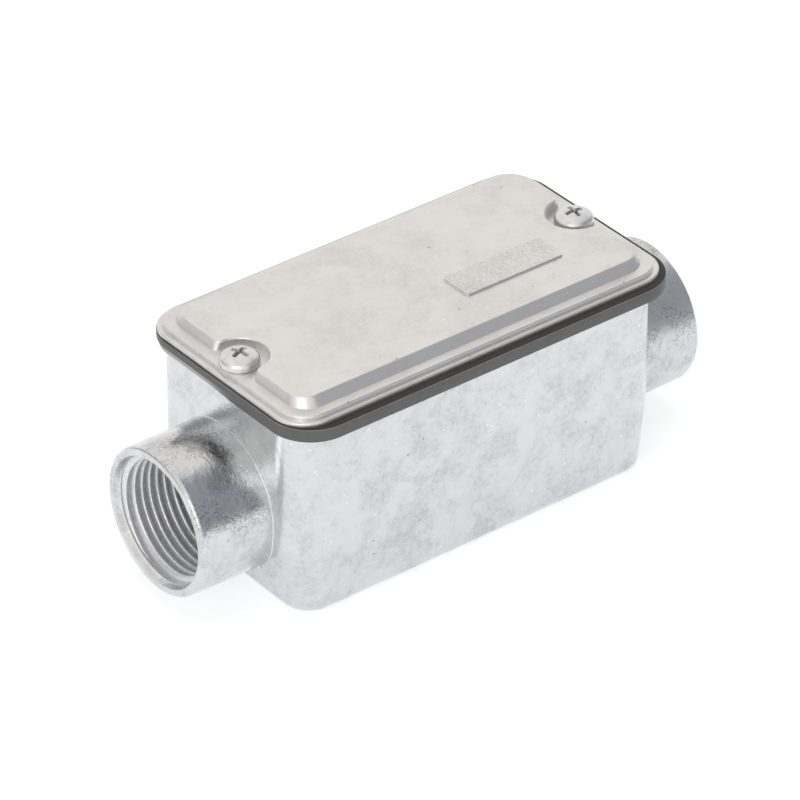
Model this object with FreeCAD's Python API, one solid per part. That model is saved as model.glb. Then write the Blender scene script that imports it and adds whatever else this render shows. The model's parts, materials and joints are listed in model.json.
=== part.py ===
import FreeCAD, Part
import os
from math import hypot
from FreeCAD import Vector

# Straight-through cast conduit body: an aluminium box with a threaded hub at
# each end, closed by a rubber gasket and a cover that two pan-head screws hold.
# Millimetres. +Z is up, +X runs along the conduit, and the origin lies under the
# middle of the flat base.

# ---------------------------------------------------------------- box casting
BODY_LENGTH = 91.8
BODY_WIDTH = 45.6
BODY_HEIGHT = 43.1
BODY_CORNER_RADIUS = 6.4
BODY_WALL = 2.8
BASE_THICKNESS = 2.8
BASE_EDGE_RADIUS = 2.4
TOP_EDGE_RADIUS = 0.3
CAVITY_EDGE_RADIUS = 2.0
END_LEAN = 1.8             # how far each end wall leans in at the base
END_LEAN_HEIGHT = 16.4     # height at which the end wall turns upright

# ------------------------------------------------------------ threaded hubs
HUB_AXIS_HEIGHT = 19.1
HUB_LENGTH = 16.75         # from the upright end wall to the mouth
HUB_ROOT_DIAMETER = 31.7
HUB_MOUTH_DIAMETER = 31.2
HUB_EDGE_RADIUS = 0.8
HUB_ROOT_FILLET = 0.25
THREAD_DIAMETER = 26.6    # 3/4 in conduit thread, cut as a plain bore
MOUTH_CHAMFER_WIDTH = 0.6
MOUTH_CHAMFER_DEPTH = 1.4
BUSHING_THICKNESS = 3.5         # smooth shoulder that the conduit stops at
THROAT_DIAMETER = 20.9
THROAT_EDGE_RADIUS = 1.2

# ------------------------------------------------------- screws and their bosses
SCREW_INSET = 4.1          # from the box's end face to a screw's axis
SCREW_DIAMETER = 4.0
SCREW_LENGTH = 12.0
SCREW_TIP_CHAMFER = 0.5
HEAD_DIAMETER = 8.1
HEAD_HEIGHT = 2.7
HEAD_CROWN_RADIUS = 7.5
HEAD_SHOULDER_RADIUS = 1.3
RECESS_SPAN = 4.4
RECESS_FOOT_SPAN = 1.8
RECESS_WIDTH = 0.95
RECESS_CORNER_RADIUS = 0.2
RECESS_DEPTH = 1.7
THREAD_CLEARANCE = 0.05         # radial, screw to tapped hole
BOSS_DIAMETER = 8.2
BOSS_LENGTH = 9.5
BOSS_SLANT_HEIGHT = 3.5
TAPPED_DEPTH = 10.0

# ------------------------------------------------------------------- gasket
GASKET_END_OVERHANG = 1.85      # past the box
GASKET_SIDE_OVERHANG = 3.65
GASKET_CORNER_RADIUS = 9.35
GASKET_THICKNESS = 2.9
GASKET_SHIFT_X = 0.45           # it lies a little off centre, as loose gaskets do
GASKET_SHIFT_Y = -0.40
GASKET_HOLE_CLEARANCE = 0.4
GASKET_LIP = 1.2                # how far the ring reaches in past the box wall

# -------------------------------------------------------------------- cover
COVER_END_OVERHANG = 1.0        # past the box
COVER_SIDE_OVERHANG = 2.2
COVER_CORNER_RADIUS = 7.35
FLANGE_THICKNESS = 0.85
LEDGE_WIDTH = 1.15
STEP_HEIGHT = 0.87
RIM_EDGE_RADIUS = 0.4
SIDE_RIM_WIDTH = 2.14
END_RIM_WIDTH = 2.35
PANEL_RISE = 2.05
PANEL_CORNER_RADIUS = 4.8
SIDE_SLOPE_WIDTH = 1.5
END_SLOPE_WIDTH = 0.8
PANEL_EDGE_RADIUS = 0.5
COVER_WALL = 1.75
POCKET_DIAMETER = 11.6
POCKET_CORNER_RADIUS = 1.5      # where a pocket runs out through the panel's end
COVER_HOLE_CLEARANCE = 0.25     # radial, screw to cover
BADGE_LENGTH = 24.3             # a bare raised plate on the panel
BADGE_WIDTH = 7.8
BADGE_RISE = 0.4
BADGE_CORNER_RADIUS = 0.6
BADGE_X = 17.8
BADGE_Y = -7.1

# -------------------------------------------------- sizes worked out from those
TINY = 1e-4
UP = Vector(0, 0, 1)
SCREW_X = BODY_LENGTH / 2 - SCREW_INSET
SCREW_RADIUS = SCREW_DIAMETER / 2
CAVITY_HALF_LENGTH = BODY_LENGTH / 2 - BODY_WALL
CAVITY_HALF_WIDTH = BODY_WIDTH / 2 - BODY_WALL
CAVITY_CORNER_RADIUS = max(BODY_CORNER_RADIUS - BODY_WALL, CAVITY_EDGE_RADIUS + 0.5)
MOUTH_X = BODY_LENGTH / 2 + HUB_LENGTH
SHOULDER_X = CAVITY_HALF_LENGTH + BUSHING_THICKNESS
GASKET_HALF_LENGTH = BODY_LENGTH / 2 + GASKET_END_OVERHANG
GASKET_HALF_WIDTH = BODY_WIDTH / 2 + GASKET_SIDE_OVERHANG
GASKET_TOP = BODY_HEIGHT + GASKET_THICKNESS
COVER_HALF_LENGTH = BODY_LENGTH / 2 + COVER_END_OVERHANG
COVER_HALF_WIDTH = BODY_WIDTH / 2 + COVER_SIDE_OVERHANG
LEDGE_TOP = GASKET_TOP + FLANGE_THICKNESS
RIM_TOP = LEDGE_TOP + STEP_HEIGHT
PANEL_TOP = RIM_TOP + PANEL_RISE


# ------------------------------------------------------------------ shape tools
def rounded_rectangle(half_length, half_width, radius, height):
    """A closed wire: a rectangle about the Z axis with round corners."""
    x, y, r = half_length, half_width, radius
    on_bend = r * (1 - 0.5 ** 0.5)
    arcs = []
    for sx, sy in ((1, 1), (-1, 1), (-1, -1), (1, -1)):
        on_end = Vector(sx * x, sy * (y - r), height)
        middle = Vector(sx * (x - on_bend), sy * (y - on_bend), height)
        on_side = Vector(sx * (x - r), sy * y, height)
        arcs.append((on_end, middle, on_side) if sx == sy else (on_side, middle, on_end))
    edges = []
    for arc, following in zip(arcs, arcs[1:] + arcs[:1]):
        edges.append(Part.Arc(*arc).toShape())
        edges.append(Part.LineSegment(arc[2], following[0]).toShape())
    return Part.Wire(edges)


def prism(half_length, half_width, radius, bottom, top):
    """An upright block with round corners."""
    wire = rounded_rectangle(half_length, half_width, radius, bottom)
    return Part.Face(wire).extrude(Vector(0, 0, top - bottom))


def taper(lower, upper):
    """A block between two rounded rectangles, each given by its four sizes."""
    wires = [rounded_rectangle(*lower), rounded_rectangle(*upper)]
    return Part.makeLoft(wires, True, True)


def screw_cylinders(radius, bottom, top):
    """Two upright cylinders, one about each screw's axis."""
    places = [Vector(side * SCREW_X, 0, bottom) for side in (-1, 1)]
    return [Part.makeCylinder(radius, top - bottom, place, UP) for place in places]


def flat_edges(shape, height):
    """The edges of a shape that lie wholly at one height."""
    boxes = [(edge, edge.BoundBox) for edge in shape.Edges]
    return [edge for edge, box in boxes if box.ZLength < TINY and abs(box.ZMin - height) < TINY]


def rounded_top(block, radius, height):
    """A block with the edge round its top face rounded off."""
    return block.makeFillet(radius, flat_edges(block, height))


def is_ring(edge, x, radius):
    """Whether an edge is a full circle about an X axis, at x and of this radius."""
    box = edge.BoundBox
    at_x = box.XLength < TINY and abs(box.Center.x - x) < TINY
    return at_x and abs(box.YLength / 2 - radius) < TINY and abs(box.ZLength / 2 - radius) < TINY


def on_both_ends(make):
    """The pair of pieces that a function makes for the side -1 and the side +1."""
    return [make(side) for side in (-1, 1)]


# ------------------------------------------------------------------ the casting
def box_form(inset, bottom, corner_radius, edge_radius):
    """The box moved in by an inset: its ends lean in low down and stand upright above."""
    half_length = BODY_LENGTH / 2 - inset
    half_width = BODY_WIDTH / 2 - inset
    lean = END_LEAN * (END_LEAN_HEIGHT - bottom) / END_LEAN_HEIGHT
    foot = (half_length - lean, half_width, corner_radius, bottom)
    knee = (half_length, half_width, corner_radius, END_LEAN_HEIGHT)
    lower = taper(foot, knee)
    lower = lower.makeFillet(edge_radius, flat_edges(lower, bottom))
    upper = prism(half_length, half_width, corner_radius, END_LEAN_HEIGHT, BODY_HEIGHT)
    return lower.fuse(upper)


def hub(side):
    """A solid hub on the end wall at side -1 or +1, a little wider at its root."""
    root = Vector(side * CAVITY_HALF_LENGTH, 0, HUB_AXIS_HEIGHT)
    length = MOUTH_X - CAVITY_HALF_LENGTH
    outward = Vector(side, 0, 0)
    solid = Part.makeCone(HUB_ROOT_DIAMETER / 2, HUB_MOUTH_DIAMETER / 2, length, root, outward)
    mouth_r = HUB_MOUTH_DIAMETER / 2
    rim = [edge for edge in solid.Edges if is_ring(edge, side * MOUTH_X, mouth_r)]
    return solid.makeFillet(HUB_EDGE_RADIUS, rim)


def hub_bore(side):
    """What is cut from a hub: chamfered mouth, thread bore, round shoulder and throat."""
    thread_r = THREAD_DIAMETER / 2
    mouth_r = thread_r + MOUTH_CHAMFER_WIDTH
    throat_r = THROAT_DIAMETER / 2
    outward = Vector(side, 0, 0)

    def on_axis(x):
        return Vector(side * x, 0, HUB_AXIS_HEIGHT)

    thread = Part.makeCylinder(thread_r, MOUTH_X - SHOULDER_X, on_axis(SHOULDER_X), outward)
    chamfer_x = MOUTH_X - MOUTH_CHAMFER_DEPTH
    chamfer = Part.makeCone(thread_r, mouth_r, MOUTH_CHAMFER_DEPTH, on_axis(chamfer_x), outward)
    throat_x = CAVITY_HALF_LENGTH - BODY_WALL
    throat = Part.makeCylinder(throat_r, SHOULDER_X - throat_x, on_axis(throat_x), outward)
    bore = throat.fuse(thread)
    corner = [edge for edge in bore.Edges if is_ring(edge, side * SHOULDER_X, throat_r)]
    return bore.makeFillet(THROAT_EDGE_RADIUS, corner).fuse(chamfer)


def screw_boss(side):
    """A round boss on the inside of an end wall, slanted back to the wall at its foot."""
    r = BOSS_DIAMETER / 2
    foot = BODY_HEIGHT - BOSS_LENGTH - BOSS_SLANT_HEIGHT
    corner = Vector(SCREW_X, -r, foot)
    bridge = Part.makeBox(SCREW_INSET, 2 * r, BODY_HEIGHT - foot, corner)
    post = Part.makeCylinder(r, BODY_HEIGHT - foot, Vector(SCREW_X, 0, foot), UP)
    inner_x = SCREW_X - r
    slant = [
        Vector(inner_x, -r, foot),
        Vector(inner_x, -r, foot + BOSS_SLANT_HEIGHT),
        Vector(CAVITY_HALF_LENGTH, -r, foot),
    ]
    wedge = Part.Face(Part.makePolygon(slant + slant[:1])).extrude(Vector(0, 2 * r, 0))
    boss = post.fuse(bridge).cut(wedge)
    return boss if side > 0 else boss.mirror(Vector(), Vector(1, 0, 0))


def hub_root_edges(body):
    """The edges where the hubs' cones meet the end walls."""
    cones = [face for face in body.Faces if isinstance(face.Surface, Part.Cone)]
    edges = [edge for cone in cones for edge in cone.Edges]
    return [edge for edge in edges if abs(edge.BoundBox.Center.x) < BODY_LENGTH / 2 + TINY]


def body_casting():
    outer = box_form(0, 0, BODY_CORNER_RADIUS, BASE_EDGE_RADIUS)
    outer = rounded_top(outer, TOP_EDGE_RADIUS, BODY_HEIGHT)
    cavity = box_form(BODY_WALL, BASE_THICKNESS, CAVITY_CORNER_RADIUS, CAVITY_EDGE_RADIUS)
    body = outer.fuse(on_both_ends(hub))
    body = body.makeFillet(HUB_ROOT_FILLET, hub_root_edges(body))
    bosses = [boss.common(outer) for boss in on_both_ends(screw_boss)]
    tapped_r = SCREW_RADIUS + THREAD_CLEARANCE
    tapped_holes = screw_cylinders(tapped_r, BODY_HEIGHT - TAPPED_DEPTH, BODY_HEIGHT)
    return body.cut([cavity.cut(bosses)] + on_both_ends(hub_bore) + tapped_holes)


# ------------------------------------------------------------- gasket and cover
def gasket():
    """A flat rubber ring with a tab round each screw."""
    sheet = prism(
        GASKET_HALF_LENGTH, GASKET_HALF_WIDTH, GASKET_CORNER_RADIUS, BODY_HEIGHT, GASKET_TOP)
    opening = prism(
        CAVITY_HALF_LENGTH - GASKET_LIP, CAVITY_HALF_WIDTH - GASKET_LIP,
        CAVITY_CORNER_RADIUS, BODY_HEIGHT, GASKET_TOP)
    tabs = screw_cylinders(BOSS_DIAMETER / 2 + GASKET_LIP, BODY_HEIGHT, GASKET_TOP)
    hole_r = SCREW_RADIUS + hypot(GASKET_SHIFT_X, GASKET_SHIFT_Y) + GASKET_HOLE_CLEARANCE
    holes = screw_cylinders(hole_r, BODY_HEIGHT, GASKET_TOP)
    ring = sheet.cut([opening.cut(tabs)] + holes)
    ring.translate(Vector(GASKET_SHIFT_X, GASKET_SHIFT_Y, 0))
    return ring


def panel(inset, foot, top):
    """The raised panel moved in by an inset: steep at its ends, gentler at its sides."""
    half_length = COVER_HALF_LENGTH - LEDGE_WIDTH - END_RIM_WIDTH - inset
    half_width = COVER_HALF_WIDTH - LEDGE_WIDTH - SIDE_RIM_WIDTH - inset
    corner = PANEL_CORNER_RADIUS - inset
    lower = (half_length, half_width, corner, foot)
    upper = (
        half_length - END_SLOPE_WIDTH, half_width - SIDE_SLOPE_WIDTH,
        corner - END_SLOPE_WIDTH, top)
    return taper(lower, upper)


def pocketed_panel():
    """The raised panel with a round pocket for each screw, its corners and top edge rounded."""
    pocket_r = POCKET_DIAMETER / 2

    def in_corner(vertex):
        from_axis = hypot(abs(vertex.X) - SCREW_X, vertex.Y)
        return abs(vertex.X) > SCREW_X and abs(from_axis - pocket_r) < TINY

    block = panel(0, RIM_TOP, PANEL_TOP).cut(screw_cylinders(pocket_r, RIM_TOP, PANEL_TOP))
    upright = [edge for edge in block.Edges if edge.BoundBox.ZLength > PANEL_RISE - TINY]
    corners = [edge for edge in upright if all(in_corner(vertex) for vertex in edge.Vertexes)]
    block = block.makeFillet(POCKET_CORNER_RADIUS, corners)
    return rounded_top(block, PANEL_EDGE_RADIUS, PANEL_TOP)


def cover_plate():
    flange = prism(
        COVER_HALF_LENGTH, COVER_HALF_WIDTH, COVER_CORNER_RADIUS, GASKET_TOP, LEDGE_TOP)
    rim = prism(
        COVER_HALF_LENGTH - LEDGE_WIDTH, COVER_HALF_WIDTH - LEDGE_WIDTH,
        COVER_CORNER_RADIUS - LEDGE_WIDTH, GASKET_TOP, RIM_TOP)
    badge = prism(
        BADGE_LENGTH / 2, BADGE_WIDTH / 2, BADGE_CORNER_RADIUS, PANEL_TOP, PANEL_TOP + BADGE_RISE)
    badge.translate(Vector(BADGE_X, BADGE_Y, 0))
    plate = rounded_top(flange, RIM_EDGE_RADIUS, LEDGE_TOP).fuse([
        rounded_top(rim, RIM_EDGE_RADIUS, RIM_TOP), pocketed_panel(), badge])
    # The underside is hollow, with solid metal left round each screw.
    pads = screw_cylinders(POCKET_DIAMETER / 2 + COVER_WALL, GASKET_TOP, PANEL_TOP)
    hollow = panel(COVER_WALL, GASKET_TOP, PANEL_TOP - COVER_WALL).cut(pads)
    holes = screw_cylinders(SCREW_RADIUS + COVER_HOLE_CLEARANCE, GASKET_TOP, RIM_TOP)
    return plate.cut([hollow] + holes)


# -------------------------------------------------------------------- screws
def pan_head():
    """A screw's crowned head, with its underside at height zero on the Z axis."""
    crown_centre = Vector(0, 0, HEAD_HEIGHT - HEAD_CROWN_RADIUS)
    crown = Part.makeSphere(HEAD_CROWN_RADIUS, crown_centre)
    head = Part.makeCylinder(HEAD_DIAMETER / 2, HEAD_HEIGHT).common(crown)
    rings = [(edge, edge.BoundBox) for edge in head.Edges if edge.BoundBox.ZLength < TINY]
    shoulder = [edge for edge, box in rings if TINY < box.ZMin < HEAD_HEIGHT - TINY]
    return head.makeFillet(HEAD_SHOULDER_RADIUS, shoulder)


def cross_recess():
    """The cross-shaped recess: two slots at right angles that narrow to a small foot."""
    half_width = RECESS_WIDTH / 2
    mouth = (RECESS_SPAN / 2, half_width, RECESS_CORNER_RADIUS, HEAD_HEIGHT)
    foot = (RECESS_FOOT_SPAN / 2, half_width, RECESS_CORNER_RADIUS, HEAD_HEIGHT - RECESS_DEPTH)
    along, across = taper(foot, mouth), taper(foot, mouth)
    across.rotate(Vector(), UP, 90)
    return along.fuse(across)


def cover_screw(side):
    """A pan-head screw, seated on the floor of its pocket in the cover."""
    shank = Part.makeCylinder(SCREW_RADIUS, SCREW_LENGTH, Vector(0, 0, -SCREW_LENGTH))
    shank = shank.makeChamfer(SCREW_TIP_CHAMFER, flat_edges(shank, -SCREW_LENGTH))
    screw = pan_head().fuse(shank).cut(cross_recess())
    screw.translate(Vector(side * SCREW_X, 0, RIM_TOP))
    return screw


# ------------------------------------------------------------------- the parts
PIECES = {
    "body_casting": body_casting(),
    "gasket": gasket(),
    "cover_plate": cover_plate(),
    "cover_screw_front": cover_screw(-1),
    "cover_screw_rear": cover_screw(1),
}

os.makedirs("parts", exist_ok=True)
for name, piece in PIECES.items():
    piece.removeSplitter().exportStep(f"parts/{name}.step")
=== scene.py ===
import json
from math import pi, radians

import bmesh
import bpy
from mathutils import Euler, Matrix, Vector


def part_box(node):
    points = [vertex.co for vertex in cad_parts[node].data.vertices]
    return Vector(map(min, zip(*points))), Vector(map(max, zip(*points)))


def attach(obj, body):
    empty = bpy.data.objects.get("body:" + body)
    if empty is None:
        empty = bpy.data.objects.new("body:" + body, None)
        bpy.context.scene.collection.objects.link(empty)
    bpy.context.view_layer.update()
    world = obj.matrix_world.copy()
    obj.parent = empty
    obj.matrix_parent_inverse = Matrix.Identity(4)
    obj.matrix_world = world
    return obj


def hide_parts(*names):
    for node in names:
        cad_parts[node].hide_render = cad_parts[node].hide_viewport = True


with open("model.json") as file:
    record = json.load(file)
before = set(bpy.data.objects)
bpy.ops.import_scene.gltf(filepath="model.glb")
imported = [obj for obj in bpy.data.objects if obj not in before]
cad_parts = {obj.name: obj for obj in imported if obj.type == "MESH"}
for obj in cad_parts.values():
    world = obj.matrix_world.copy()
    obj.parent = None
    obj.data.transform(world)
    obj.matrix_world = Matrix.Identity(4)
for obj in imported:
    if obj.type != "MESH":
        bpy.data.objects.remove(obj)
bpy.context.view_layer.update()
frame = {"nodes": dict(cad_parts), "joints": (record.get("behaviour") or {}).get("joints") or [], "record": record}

scene = bpy.context.scene


# ------------------------------------------------------------ the box casting
# The box and its two hubs are one aluminium die casting, left as it came from the
# die: bright satin, patchy where the metal chilled unevenly, finely pitted, with
# open pores on the hubs. The pores are painted dark only on a hub's shoulder and
# crown, where it mirrors the dark card and the gasket, so they deepen those
# reflections: painted reflection. Only the hubs' bores are machined.
MM = 0.001                              # in metres; +X runs along the conduit, +Z is up
CAST_LIGHT = (0.674, 0.688, 0.700, 1)
CAST_DULL = (0.540, 0.556, 0.572, 1)
CAST_PIT = (0.30, 0.31, 0.33, 1)
CAST_FLECK = (0.93, 0.94, 0.95, 1)
CAST_PITS = 420.0                       # cells per metre that may hold a pit or a fleck
BORE_BRIGHT = (0.86, 0.87, 0.89, 1)
BORE_METALLIC = 0.55
BORE_SKIN = (0.05 * MM, 0.25 * MM)      # past the bore, where its brightness ends
HUB_ROOT = (46.5 * MM, 48.0 * MM)       # from mid-length, where a hub's own finish begins
# Pores are painted only where a hub's side mirrors the dark card and its crown mirrors the gasket: painted
# reflection over real pores.
PORES_FADE_IN = (18 * MM, 23 * MM)      # heights, up a hub's side
PORES_FADE_OUT = (28 * MM, 31 * MM)
PORES_ON_CROWN = (33.4 * MM, 34.4 * MM)     # where they come back
PORE_AND_REFLECTION_DARKNESS = 0.62
REAR_HUB_DULLNESS = 0.17                # added to its roughness


def feed(tree, socket, value):
    """Gives an input socket a plain value or another node's output."""
    if isinstance(value, bpy.types.NodeSocket):
        tree.links.new(value, socket)
    else:
        socket.default_value = value


def add_node(tree, kind, inputs, **settings):
    """Adds a shader node, with its settings and what its inputs are fed."""
    node = tree.nodes.new("ShaderNode" + kind)
    for name, value in settings.items():
        setattr(node, name, value)
    for name, value in inputs.items():
        feed(tree, node.inputs[name], value)
    return node


def add_noise(tree, vector, scale, detail, roughness, distortion=0.0):
    """A cloudy pattern; scale is in features per metre."""
    inputs = {"Vector": vector, "Scale": scale, "Detail": detail, "Roughness": roughness,
              "Distortion": distortion}
    return add_node(tree, "TexNoise", inputs).outputs["Fac"]


def add_ramp(tree, source, low, high, low_out=0.0, high_out=1.0):
    """Maps source smoothly from low..high to low_out..high_out."""
    inputs = {"Value": source, "From Min": low, "From Max": high, "To Min": low_out, "To Max": high_out}
    return add_node(tree, "MapRange", inputs, interpolation_type="SMOOTHSTEP").outputs["Result"]


def add_blend(tree, factor, first, second):
    """Mixes two colours."""
    inputs = {0: factor, 6: first, 7: second}
    return add_node(tree, "Mix", inputs, data_type="RGBA").outputs[2]


def add_math(tree, operation, first, second=0.0):
    """One sum on one or two numbers."""
    return add_node(tree, "Math", {0: first, 1: second}, operation=operation).outputs[0]


def add_product(tree, *terms):
    """Multiplies two or more numbers."""
    product = terms[0]
    for term in terms[1:]:
        product = add_math(tree, "MULTIPLY", product, term)
    return product


def add_axes(tree, place):
    """Splits a place into its X, Y and Z."""
    return add_node(tree, "SeparateXYZ", {"Vector": place}).outputs


def make_cast_skin():
    """Where a casting is dull, grainy, pitted and flecked, each from 0 to 1."""
    group = bpy.data.node_groups.new("cast_skin", "ShaderNodeTree")
    group.interface.new_socket("Vector", in_out="INPUT", socket_type="NodeSocketVector")
    for name in ("Patch Scale", "Grain Scale"):
        group.interface.new_socket(name, in_out="INPUT", socket_type="NodeSocketFloat")
    for name in ("Dull", "Grain", "Pits", "Flecks"):
        group.interface.new_socket(name, in_out="OUTPUT", socket_type="NodeSocketFloat")
    given = group.nodes.new("NodeGroupInput").outputs
    result = group.nodes.new("NodeGroupOutput").inputs

    place = given["Vector"]
    cloud = add_noise(group, place, given["Patch Scale"], 10.0, 0.74, distortion=0.15)
    grain = add_noise(group, place, given["Grain Scale"], 4.0, 0.72)
    cells = add_node(group, "TexVoronoi", {"Vector": place, "Scale": CAST_PITS, "Randomness": 1.0})
    spot = add_ramp(group, cells.outputs["Distance"], 0.06, 0.13, 1.0, 0.0)
    region = add_noise(group, place, 140.0, 3.0, 0.6)
    feed(group, result["Dull"], add_ramp(group, cloud, 0.40, 0.66))
    feed(group, result["Grain"], add_ramp(group, grain, 0.28, 0.72))
    feed(group, result["Pits"], add_product(group, spot, add_ramp(group, region, 0.55, 0.60)))
    feed(group, result["Flecks"], add_product(group, spot, add_ramp(group, region, 0.42, 0.47, 1.0, 0.0)))
    return group


def add_cast_surface(tree, place, tones, patch_scale, grain_scale, waviness):
    """Die-cast aluminium in a light, a dull and a pit tone: its colour, its wear from
    0 to 1, and its grainy, gently wavy height."""
    light, dull, pit = tones
    inputs = {"Vector": place, "Patch Scale": patch_scale, "Grain Scale": grain_scale}
    skin = add_node(tree, "Group", inputs, node_tree=cast_skin).outputs
    worn = add_product(tree, skin["Dull"], add_math(tree, "ADD", skin["Grain"], 0.35))
    colour = add_blend(tree, worn, light, dull)
    colour = add_blend(tree, skin["Pits"], colour, pit)
    colour = add_blend(tree, add_product(tree, skin["Flecks"], 0.8), colour, CAST_FLECK)
    waves = add_product(tree, add_noise(tree, place, 330.0, 3.0, 0.55), waviness)
    height = add_math(tree, "ADD", waves, add_product(tree, skin["Grain"], 0.7))
    height = add_math(tree, "SUBTRACT", height, add_product(tree, skin["Pits"], 1.6))
    return colour, worn, height


def new_material(name):
    """A material, its node tree and its object coordinates."""
    material = bpy.data.materials.new(name)
    material.use_nodes = True
    tree = material.node_tree
    return material, tree, add_node(tree, "TexCoord", {}).outputs["Object"]


def dress(material, colour, roughness, metallic, height=None, depth=0.0):
    """Gives a material its finish. height raises its surface, depth metres from 0 to 1."""
    tree = material.node_tree
    shader = tree.nodes["Principled BSDF"].inputs
    feed(tree, shader["Base Color"], colour)
    feed(tree, shader["Roughness"], roughness)
    feed(tree, shader["Metallic"], metallic)
    if height is not None:
        bump = add_node(tree, "Bump", {"Height": height, "Distance": depth, "Strength": 1.0})
        feed(tree, shader["Normal"], bump.outputs["Normal"])


def make_box_metal(bore_height, bore_radius):
    """Cast aluminium with open pores, painted only on the hubs' shoulders and crown, where
    they mirror the dark card and the gasket, which deepens that painted reflection; a
    duller rear hub, and bores machined bright."""
    material, tree, place = new_material("cast_aluminium_satin")
    colour, worn, height = add_cast_surface(
        tree, place, (CAST_LIGHT, CAST_DULL, CAST_PIT),
        patch_scale=150.0, grain_scale=1000.0, waviness=2.2)
    axes = add_axes(tree, place)

    on_hub = add_ramp(tree, add_math(tree, "ABSOLUTE", axes["X"]), *HUB_ROOT)
    shoulder = add_product(
        tree, add_ramp(tree, axes["Z"], *PORES_FADE_IN),
        add_ramp(tree, axes["Z"], *PORES_FADE_OUT, 1.0, 0.0))
    dark_reflection_bands = add_math(tree, "MAXIMUM", shoulder, add_ramp(tree, axes["Z"], *PORES_ON_CROWN))
    holes = add_ramp(tree, add_noise(tree, place, 1900.0, 2.0, 0.6), 0.47, 0.60)
    clusters = add_ramp(tree, add_noise(tree, place, 210.0, 3.0, 0.6), 0.38, 0.58)
    # Real pores, painted only in the bands of dark reflection, which they darken further: painted reflection.
    pores = add_product(tree, holes, clusters, on_hub, dark_reflection_bands, PORE_AND_REFLECTION_DARKNESS)
    colour = add_blend(tree, pores, colour, CAST_PIT)

    across = add_node(
        tree, "Mapping", {"Vector": place, "Location": (0, 0, -bore_height), "Scale": (0, 1, 1)})
    from_axis = add_node(tree, "VectorMath", {0: across.outputs["Vector"]}, operation="LENGTH")
    skin_start, skin_end = (bore_radius + past for past in BORE_SKIN)
    machined = add_ramp(tree, from_axis.outputs["Value"], skin_start, skin_end, 1.0, 0.0)
    colour = add_blend(tree, machined, colour, BORE_BRIGHT)
    metallic = add_ramp(tree, machined, 0.0, 1.0, 1.0, BORE_METALLIC)

    roughness = add_math(
        tree, "ADD", add_ramp(tree, worn, 0.0, 1.0, 0.13, 0.28),
        add_ramp(tree, axes["X"], *HUB_ROOT, 0.0, REAR_HUB_DULLNESS))
    dress(material, colour, roughness, metallic, height, 0.026 * MM)
    return material


cast_skin = make_cast_skin()
mounts = {mount["name"]: mount for mount in frame["record"]["mounts"]}
front_bore = mounts["front_hub"]
frame["nodes"]["body_casting"].material_slots[0].material = make_box_metal(
    bore_height=front_bore["pos_m"][2], bore_radius=front_bore["dims"]["r_mm"] * MM)


# ---------------------------------------------------------------- hub threads
# A tapping tool cut the conduit thread in each hub: 14 turns to the inch, bright
# where the tool ran. Its ridges stand in from the hub's bore and fade out at both ends.
HUB_PITCH = 25.4 / 14 * MM
HUB_RIDGE_FOOT = 0.80 * MM      # half a ridge's width at the bore
HUB_RIDGE_HEIGHT = 1.10 * MM
HUB_RIDGE_CREST = (             # half of it: along the axis, in from the bore
    (0.33 * MM, 0.88 * MM), (0.22 * MM, 1.03 * MM), (0.08 * MM, HUB_RIDGE_HEIGHT))
HUB_THREAD_SHIFT = 0.1 * MM     # of the thread's middle from the bore's, along its axis
HUB_STEPS = 96                  # per turn
RUN_OUT = 0.4                   # of a turn, over which a ridge fades out
SUNK = 0.04 * MM                # how far a ridge's root lies inside what carries it


def wind_thread(bm, start, axis, across, half, pitch, turns, steps, rise):
    """Winds a thread ridge about an axis and adds it to bm. half is half the ridge's
    outline, from its root to its crest: how far along the axis and how far out. Where
    the ridge fades out at its ends, it moves out by rise, into what carries it."""
    outline = [(-along, out) for along, out in half] + [(along, out) for along, out in reversed(half)]
    wound = bmesh.new()
    corners = [wound.verts.new(start + axis * along + across * out) for along, out in outline]
    face = wound.faces.new(corners)
    bmesh.ops.spin(
        wound, geom=[face] + list(face.edges) + list(face.verts), cent=start, axis=axis,
        dvec=axis * (pitch / steps), angle=2 * pi * turns, steps=round(steps * turns), use_merge=False)
    last = len(wound.verts) // len(outline) - 1
    for index, vert in enumerate(wound.verts):
        ring = index // len(outline)
        along_run_out = min(ring, last - ring) / (steps * RUN_OUT)
        if along_run_out < 1:
            outward = vert.co - start
            outward -= axis * outward.dot(axis)
            vert.co += outward.normalized() * rise * (1 - along_run_out) ** 2
    bmesh.ops.recalc_face_normals(wound, faces=wound.faces[:])
    ridge = bpy.data.meshes.new("ridge")
    wound.to_mesh(ridge)
    wound.free()
    bm.from_mesh(ridge)
    bpy.data.meshes.remove(ridge)


def finish_mesh(name, bm, smooth_below=40):
    """Turns a bmesh into an object at the origin, smooth where its faces nearly line up."""
    mesh = bpy.data.meshes.new(name)
    bm.to_mesh(mesh)
    bm.free()
    mesh.shade_smooth()
    mesh.set_sharp_from_angle(angle=radians(smooth_below))
    made = bpy.data.objects.new(name, mesh)
    scene.collection.objects.link(made)
    return made


def make_tapped_metal():
    """Tapped aluminium: bright crests, tool lines that run round the bore."""
    material, tree, place = new_material("tapped_aluminium")
    lines = add_node(tree, "Mapping", {"Vector": place, "Scale": (9000.0, 60.0, 60.0)})
    streaks = add_noise(tree, lines.outputs["Vector"], 1.0, 3.0, 0.6)
    torn = add_noise(tree, place, 1500.0, 3.0, 0.65)
    tone = add_ramp(tree, add_product(tree, streaks, torn), 0.12, 0.36)
    colour = add_blend(tree, tone, (0.68, 0.69, 0.71, 1), (0.88, 0.895, 0.92, 1))
    dress(material, colour, 0.36, 0.7, add_math(tree, "ADD", streaks, torn), 0.012 * MM)
    return material


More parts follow.
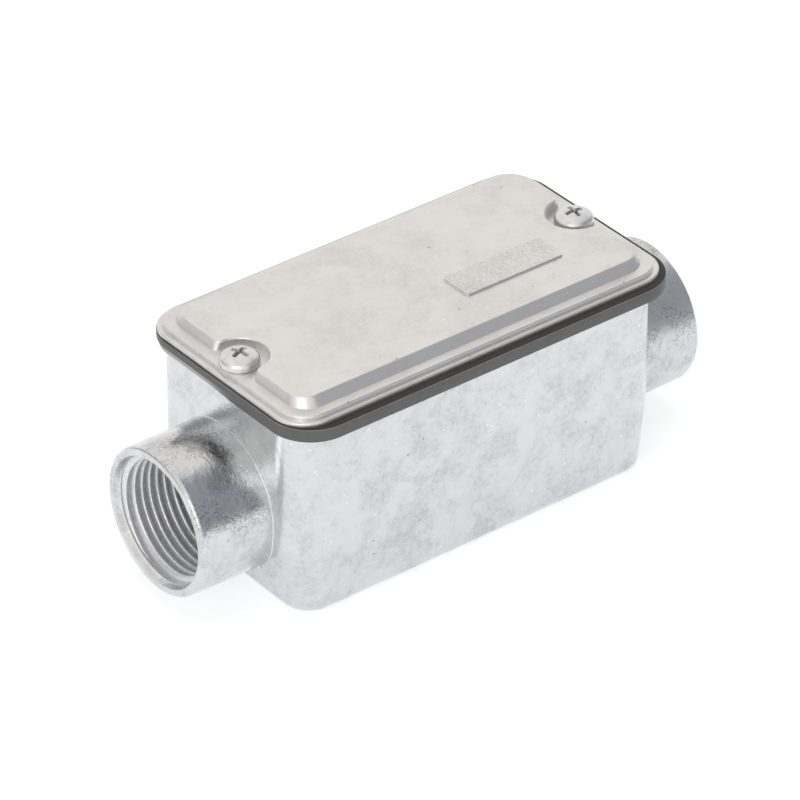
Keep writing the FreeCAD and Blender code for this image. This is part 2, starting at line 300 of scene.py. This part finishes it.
tapped_metal = make_tapped_metal()
for side in ("front", "rear"):
    bore = mounts[f"{side}_hub"]
    axis = Vector(bore["axis"])
    radius = bore["dims"]["r_mm"] * MM
    length = bore["dims"]["length_mm"] * MM
    start = Vector(bore["pos_m"]) - axis * (length / 2 - HUB_RIDGE_FOOT - HUB_THREAD_SHIFT)
    turns = (length - 2 * HUB_RIDGE_FOOT) / HUB_PITCH
    half = [(HUB_RIDGE_FOOT, radius + SUNK)]
    half += [(along, radius - inward) for along, inward in HUB_RIDGE_CREST]
    bm = bmesh.new()
    wind_thread(bm, start, axis, Vector((0, 1, 0)), half, HUB_PITCH, turns, HUB_STEPS, HUB_RIDGE_HEIGHT)
    thread = finish_mesh(f"{side}_hub_thread", bm)
    thread.data.materials.append(tapped_metal)
    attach(thread, "base")


# --------------------------------------------------------------------- gasket
# A flat ring of black synthetic rubber, die-cut from sheet, squeezed between the
# box and the cover. Its rolled faces are near black: the sheet's dark skin, and
# painted shade for the shadow under the cover's lip. Its cut edges are greyer, the
# upper rounds of its softly rounded rims are painted paler as a painted highlight,
# and the pinched lower edge at the left of the front end is painted pale as a
# painted reflection of the bright end wall below it.
GASKET_EDGE = 0.20 * MM
GASKET_RIM = 5 * MM             # in from its outline, short of its hole
GASKET_CORNER = 9.4 * MM        # from the front end to the left side's straight run
PINCH_HEIGHT = 1.25 * MM        # of the band squeezed inward, at the left of the front end
PINCH_STEP = 0.15 * MM          # over which the edge comes back out above the band
PINCH_DEPTH = 0.40 * MM
PINCH_CENTRE = 12 * MM          # in from the front and the left: what the corner closes towards
PINCH_FRONT = (-38 * MM, 8 * MM)    # the X that it starts at, and the length it deepens over
PINCH_LEFT = (-4 * MM, 6 * MM)      # the same in Y
PALE_FRONT = (-42 * MM, -38 * MM)   # where the pinched edge's paleness fades out, in X
PALE_LEFT = (-6 * MM, 6 * MM)       # and where it fades in, in Y
PALE_FADE = 0.08 * MM               # and below the top of the band
LONG_EDGE = 30 * MM             # past this an edge of the front end is cut up, so that it can bend
LONG_EDGE_CUTS = 24
FLUSH = 0.01 * MM               # how near counts as level with a face
# The pale of the pinched lower edge: a painted reflection of the bright end wall below it.
PINCH_PALE = (0.62, 0.62, 0.63, 1)
ROLLED, CUT, RIM_HIGHLIGHT = range(3)    # the ring's materials


def merged_copy(node):
    """A CAD node's mesh as a bmesh, with its loose triangles merged into faces."""
    bm = bmesh.new()
    bm.from_mesh(frame["nodes"][node].data)
    bmesh.ops.remove_doubles(bm, verts=bm.verts[:], dist=1e-6)
    bmesh.ops.dissolve_limit(bm, angle_limit=radians(0.5), verts=bm.verts[:], edges=bm.edges[:])
    return bm


def cut_level(bm, height):
    """Cuts a bmesh's faces along a level plane."""
    bmesh.ops.bisect_plane(
        bm, geom=bm.verts[:] + bm.edges[:] + bm.faces[:], dist=1e-7,
        plane_co=(0, 0, height), plane_no=(0, 0, 1))


def make_rubber(name, dark, bloomed, roughness, pale_top=None):
    """Black rubber with a faint grey bloom and a little dust in its grain. Below
    pale_top, where the ring is pinched, it is painted pale: a painted reflection of
    the bright end wall below it."""
    material, tree, place = new_material(name)
    bloom = add_ramp(tree, add_noise(tree, place, 150.0, 5.0, 0.6), 0.35, 0.7)
    dust = add_ramp(tree, add_noise(tree, place, 2600.0, 2.0, 0.6), 0.60, 0.85)
    colour = add_blend(tree, bloom, dark, bloomed)
    colour = add_blend(tree, add_product(tree, dust, 0.5), colour, (0.20, 0.20, 0.19, 1))
    if pale_top is not None:
        axes = add_axes(tree, place)
        # A painted reflection: the pinched lower edge painted pale.
        painted_reflection = add_product(
            tree, add_ramp(tree, axes["Z"], pale_top - PALE_FADE, pale_top, 1.0, 0.0),
            add_ramp(tree, axes["X"], *PALE_FRONT, 1.0, 0.0), add_ramp(tree, axes["Y"], *PALE_LEFT))
        colour = add_blend(tree, painted_reflection, colour, PINCH_PALE)
    dress(material, colour, add_ramp(tree, bloom, 0.0, 1.0, *roughness), 0.0, dust, 0.010 * MM)
    return material


def pinch_at(point):
    """How far the gasket's lower edge is squeezed inward at a point."""
    front, front_length = PINCH_FRONT
    left, left_length = PINCH_LEFT
    at_front = min(max((front - point.x) / front_length, 0), 1)
    at_left = min(max((point.y - left) / left_length, 0), 1)
    return PINCH_DEPTH * at_front * at_left


low, high = (Vector(corner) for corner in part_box("gasket"))
pinch_top = low.z + PINCH_HEIGHT
bm = merged_copy("gasket")
cut_level(bm, pinch_top)
cut_level(bm, pinch_top + PINCH_STEP)
front_edges = [edge for edge in bm.edges if max(vert.co.x for vert in edge.verts) < low.x + FLUSH]
bmesh.ops.subdivide_edges(
    bm, edges=[edge for edge in front_edges if edge.calc_length() > LONG_EDGE],
    cuts=LONG_EDGE_CUTS, use_grid_fill=True)
centre = Vector((low.x + PINCH_CENTRE, high.y - PINCH_CENTRE))
for vert in bm.verts:
    at_front = vert.co.x < low.x + GASKET_RIM
    at_corner = vert.co.y > high.y - GASKET_RIM and vert.co.x < low.x + GASKET_CORNER
    if (at_front or at_corner) and vert.co.z < pinch_top + FLUSH:
        inward = Vector((1, 0)) if vert.co.y < centre.y else (centre - vert.co.xy).normalized()
        vert.co.xy += inward * pinch_at(vert.co)
rims = [edge for edge in bm.edges if edge.is_manifold and edge.calc_face_angle() > radians(60)]
bmesh.ops.bevel(
    bm, geom=rims, offset=GASKET_EDGE, offset_type="OFFSET", affect="EDGES",
    segments=2, profile=0.5, material=-1)
# The upper rounds of the rims take a paler rubber: a painted highlight.
for face in bm.faces:
    level = abs(face.normal.z) > 0.9
    on_upper_rim = face.normal.z > 0.3
    face.material_index = ROLLED if level else RIM_HIGHLIGHT if on_upper_rim else CUT
gasket = finish_mesh("gasket_ring", bm)
# Near black on the rolled faces: the sheet's dark skin and painted shade under the cover's lip.
gasket.data.materials.append(make_rubber(
    "rubber_rolled_face_and_shade", (0.014, 0.012, 0.012, 1), (0.030, 0.027, 0.027, 1), (0.50, 0.62)))
gasket.data.materials.append(make_rubber(
    "rubber_cut_edge", (0.134, 0.136, 0.139, 1), (0.178, 0.180, 0.183, 1), (0.50, 0.65), pinch_top))
gasket.data.materials.append(make_rubber(
    "rubber_rim_painted_highlight", (0.24, 0.24, 0.245, 1), (0.32, 0.32, 0.325, 1), (0.50, 0.65)))
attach(gasket, "base")
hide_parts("gasket")


# ---------------------------------------------------------------------- cover
# The cover is a second die casting with a smoother face: faintly clouded, with a
# raised panel, a pocket for each screw and a bare raised plate, finely stippled.
COVER_LIGHT = (0.785, 0.775, 0.765, 1)
COVER_DULL = (0.70, 0.69, 0.685, 1)
COVER_PIT = (0.36, 0.36, 0.37, 1)
PLATE_FADE = (-0.12 * MM, -0.04 * MM)   # from the plate's top, where its stipple begins
STIPPLE_DARKNESS = 0.30
STIPPLE_HEIGHT = 3.0                    # against the casting's own grain


def make_cover_metal(plate_top):
    """Smoother cast aluminium, stippled on the plate."""
    material, tree, place = new_material("cover_aluminium_satin")
    colour, worn, height = add_cast_surface(
        tree, place, (COVER_LIGHT, COVER_DULL, COVER_PIT),
        patch_scale=70.0, grain_scale=1400.0, waviness=3.0)
    fade_start, fade_end = (plate_top + offset for offset in PLATE_FADE)
    on_plate = add_ramp(tree, add_axes(tree, place)["Z"], fade_start, fade_end)
    stipple = add_product(
        tree, on_plate, add_ramp(tree, add_noise(tree, place, 2400.0, 2.0, 0.5), 0.38, 0.66))
    colour = add_blend(tree, add_product(tree, stipple, STIPPLE_DARKNESS), colour, COVER_PIT)
    height = add_math(tree, "ADD", height, add_product(tree, stipple, STIPPLE_HEIGHT))
    dress(material, colour, add_ramp(tree, worn, 0.0, 1.0, 0.31, 0.42), 0.82, height, 0.010 * MM)
    return material


cover_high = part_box("cover_plate")[1]
frame["nodes"]["cover_plate"].material_slots[0].material = make_cover_metal(plate_top=cover_high[2])


# --------------------------------------------------------------------- screws
# Two zinc-plated M4 screws with crowned heads and a cross recess hold the cover.
# Their rolled thread stops short of the head. Each stops at its own angle when tight,
# and its recess and the foot of its head are painted darker, as painted shade.
SCREW_CORE = 1.62 * MM
SCREW_CREST = 1.98 * MM
SCREW_PITCH = 0.70 * MM
SCREW_RIDGE_FOOT = 0.30 * MM    # half a ridge's width at the core
SCREW_RIDGE_CREST = 0.05 * MM   # and at its crest
SCREW_POINT = 0.4 * MM          # unthreaded length at the tip
SCREW_PLAIN = 1.0 * MM          # and under the head
SCREW_STEPS = 32                # per turn
SCREW_MIDDLE = 2.3 * MM         # a radius that holds the shank and the recess
SCREW_FOOT_SHADE = 0.20 * MM         # height of the dark line round the head's foot
HEAD_RIM = 3.5 * MM             # a radius just inside the head's
RECESS_TOP = 1.2 * MM           # below the head's top: all that lies deeper is recess
RECESS_FLOOR = 0.3 * MM         # above the seat: the recess ends higher than this
SCREW_TURNS = {"front": radians(18), "rear": radians(-4)}
PLATED, SHADED = range(2)        # a screw's materials


def make_zinc():
    """Zinc plating, faintly uneven."""
    material, tree, place = new_material("zinc_plated_steel")
    film = add_noise(tree, place, 700.0, 4.0, 0.6)
    colour = add_blend(tree, add_ramp(tree, film, 0.3, 0.7), (0.66, 0.67, 0.665, 1), (0.78, 0.785, 0.78, 1))
    dress(material, colour, add_ramp(tree, film, 0.3, 0.7, 0.32, 0.42), 1.0, film, 0.008 * MM)
    return material


def make_shaded_zinc():
    """The same plating, painted darker: painted shade in the recess and round the head's foot."""
    material, tree, place = new_material("shaded_zinc")
    gloss_patches = add_noise(tree, place, 1500.0, 3.0, 0.6)
    dress(material, (0.46, 0.46, 0.46, 1), add_ramp(tree, gloss_patches, 0.3, 0.7, 0.35, 0.6), 1.0)
    return material


zinc = make_zinc()
shaded_zinc = make_shaded_zinc()
joints = {joint["name"]: joint for joint in frame["joints"]}
up = Vector((0, 0, 1))
for side, turn in SCREW_TURNS.items():
    node = f"cover_screw_{side}"
    low, high = (Vector(corner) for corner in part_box(node))
    seat = Vector(((low.x + high.x) / 2, (low.y + high.y) / 2, joints[f"{side}_screw_turn"]["pos_m"][2]))
    bm = merged_copy(node)
    cut_level(bm, seat.z + SCREW_FOOT_SHADE)
    for face in bm.faces:
        middle = face.calc_center_median()
        out = (middle - seat).to_2d().length
        steep = face.normal.z < 0.75
        deep = middle.z < high.z - RECESS_TOP
        in_recess = (steep or deep) and out < SCREW_MIDDLE and middle.z > seat.z + RECESS_FLOOR
        # The recess and a thin band round the head's foot take painted shade.
        at_foot = out > HEAD_RIM and middle.z < seat.z + SCREW_FOOT_SHADE
        face.material_index = SHADED if in_recess or at_foot else PLATED
    for vert in bm.verts:
        out = (vert.co - seat).to_2d()
        if vert.co.z < seat.z + FLUSH and out.length < SCREW_MIDDLE:
            vert.co.xy = seat.xy + out * (SCREW_CORE / max(out.length, SCREW_CORE))
    bmesh.ops.rotate(bm, cent=seat, matrix=Matrix.Rotation(turn, 3, "Z"), verts=bm.verts[:])
    start = Vector((seat.x, seat.y, low.z + SCREW_POINT))
    turns = (seat.z - SCREW_PLAIN - start.z) / SCREW_PITCH
    half = [(SCREW_RIDGE_FOOT, SCREW_CORE - SUNK), (SCREW_RIDGE_CREST, SCREW_CREST)]
    wind_thread(
        bm, start, up, Vector((1, 0, 0)), half, SCREW_PITCH, turns, SCREW_STEPS, SCREW_CORE - SCREW_CREST)
    screw = finish_mesh(f"{side}_cover_screw", bm, smooth_below=30)
    screw.data.materials.append(zinc)
    screw.data.materials.append(shaded_zinc)
    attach(screw, f"{side}_screw")
    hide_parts(node)


# ---------------------------------------------------------------------- floor
# A plain white floor, matt, that runs out far past the object, which keeps its soft
# shadow on it. The floor glows a little wherever it is seen.
FLOOR_SIZE = 3.0                # from its middle to each side
FLOOR_GLOW = 0.54


def add_seen(tree):
    """Whether a ray looks at a thing directly, in a reflection or through another."""
    path = add_node(tree, "LightPath", {}).outputs
    seen = add_math(tree, "MAXIMUM", path["Is Camera Ray"], path["Is Glossy Ray"])
    return add_math(tree, "MAXIMUM", seen, path["Is Transmission Ray"])


def make_white_sweep():
    """Matt white, with no shine of its own."""
    material, tree = new_material("white_sweep")[:2]
    dress(material, (0.86, 0.86, 0.86, 1), 0.9, 0.0)
    shader = tree.nodes["Principled BSDF"].inputs
    shader["Specular IOR Level"].default_value = 0.0
    shader["Emission Color"].default_value = (0.96, 0.99, 1.0, 1)
    feed(tree, shader["Emission Strength"], add_product(tree, add_seen(tree), FLOOR_GLOW))
    return material


bm = bmesh.new()
bmesh.ops.create_grid(bm, x_segments=1, y_segments=1, size=FLOOR_SIZE)
floor = finish_mesh("floor", bm)
floor.data.materials.append(make_white_sweep())


# ------------------------------------------------------------- studio lighting
# A white room with a faintly warm ceiling, a soft key lamp by the camera, a soft
# lamp overhead, and grey cards seen only in the metal, which bring out its shape.
ROOM_WHITE = (1, 1, 1, 1)
ROOM_WARM = (1.0, 0.965, 0.935, 1)
ROOM_LIGHT = 0.50               # what the room gives to matt surfaces

room = bpy.data.worlds.new("white_room")
scene.world = room
room.use_nodes = True
tree = room.node_tree
background = tree.nodes["Background"].inputs
to_camera = add_node(tree, "LightPath", {}).outputs["Is Camera Ray"]
feed(tree, background["Color"], add_blend(tree, to_camera, ROOM_WARM, ROOM_WHITE))
feed(tree, background["Strength"], add_ramp(tree, add_seen(tree), 0.0, 1.0, ROOM_LIGHT, 1.0))


def add_lamp(name, place, size, watts, colour=(1, 1, 1)):
    """A square soft lamp at a place, turned to the object."""
    lamp = bpy.data.lights.new(name, "AREA")
    lamp.size = size
    lamp.energy = watts
    lamp.color = colour
    made = bpy.data.objects.new(name, lamp)
    made.location = place
    made.rotation_euler = Vector(place).to_track_quat("Z", "Y").to_euler()
    scene.collection.objects.link(made)
    return made


def add_card(name, place, width, height, tone):
    """An upright card facing the object, seen only in reflections."""
    bm = bmesh.new()
    bmesh.ops.create_grid(bm, x_segments=1, y_segments=1, size=0.5)
    bmesh.ops.scale(bm, vec=(width, height, 1), verts=bm.verts[:])
    facing = Vector((place[0], place[1], 0)).to_track_quat("Z", "Y").to_matrix().to_4x4()
    bm.transform(Matrix.Translation(place) @ facing)
    card = finish_mesh(name, bm)
    paint = bpy.data.materials.new(name + "_paint")
    paint.use_nodes = True
    shader = paint.node_tree.nodes["Principled BSDF"].inputs
    shader["Base Color"].default_value = (0, 0, 0, 1)
    shader["Specular IOR Level"].default_value = 0.0
    shader["Emission Color"].default_value = tone
    shader["Emission Strength"].default_value = 1.0
    card.data.materials.append(paint)
    card.visible_camera = False
    card.visible_diffuse = False
    card.visible_shadow = False
    card.visible_transmission = False


add_lamp("key_lamp", (-0.84, -0.62, 0.46), size=0.62, watts=1.9, colour=(1.0, 0.97, 0.94))
top_lamp = add_lamp("top_lamp", (0.0, 0.0, 1.1), size=0.80, watts=2.2)
top_lamp.visible_glossy = False
add_card("dark_card", (0.41, -0.33, 0.61), width=1.05, height=1.22, tone=(0.365, 0.385, 0.415, 1))
add_card("back_card", (-0.32, 0.27, 0.095), width=0.50, height=0.19, tone=(0.53, 0.53, 0.54, 1))


# --------------------------------------------------------------------- camera
# A long lens, well back, above and in front of the left-hand hub. Colours are shown
# as they are, with no film curve.
CAMERA_PLACE = (-0.58243, -0.73129, 0.64355)
CAMERA_DOWN = 33.618            # degrees below level
CAMERA_HEADING = -38.421        # degrees from +Y
CAMERA_ROLL = 0.241             # degrees

lens = bpy.data.cameras.new("camera")
lens.sensor_width = 36.0
lens.lens = 254.22
lens.clip_start = 0.05
lens.clip_end = 20.0
camera = bpy.data.objects.new("camera", lens)
aim = Euler((radians(90 - CAMERA_DOWN), 0, radians(CAMERA_HEADING))).to_matrix().to_4x4()
roll = Matrix.Rotation(radians(CAMERA_ROLL), 4, "Z")
camera.matrix_world = Matrix.Translation(CAMERA_PLACE) @ aim @ roll
scene.collection.objects.link(camera)
scene.camera = camera
scene.view_settings.view_transform = "Standard"
